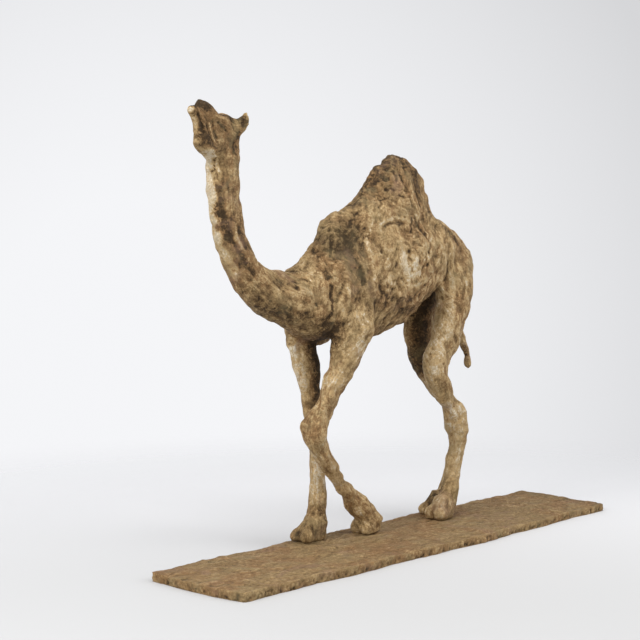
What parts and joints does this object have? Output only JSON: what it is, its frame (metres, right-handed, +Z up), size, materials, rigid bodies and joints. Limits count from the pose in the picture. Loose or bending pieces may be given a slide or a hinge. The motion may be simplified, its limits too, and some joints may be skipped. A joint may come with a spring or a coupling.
{
  "type": "bronze camel figurine",
  "caption": "Roughly modelled bronze dromedary walking with raised head, fixed by its feet to a long, thin, rough-edged bronze plank.",
  "frame": {"origin": "centre of the plank's flat underside, at nominal length and width", "axes": "+Z up; +X along the plank towards the tail, so the animal faces -X; +Y across the plank, to the animal's right"},
  "size_m": [0.8193, 0.2012, 0.5947],
  "materials": {
    "camel": null,
    "base": "matte sand and brown patina over bronze, rough"
  },
  "bodies": {
    "root": {"camel": "camel", "base": "base"}
  },
  "joints": []
}
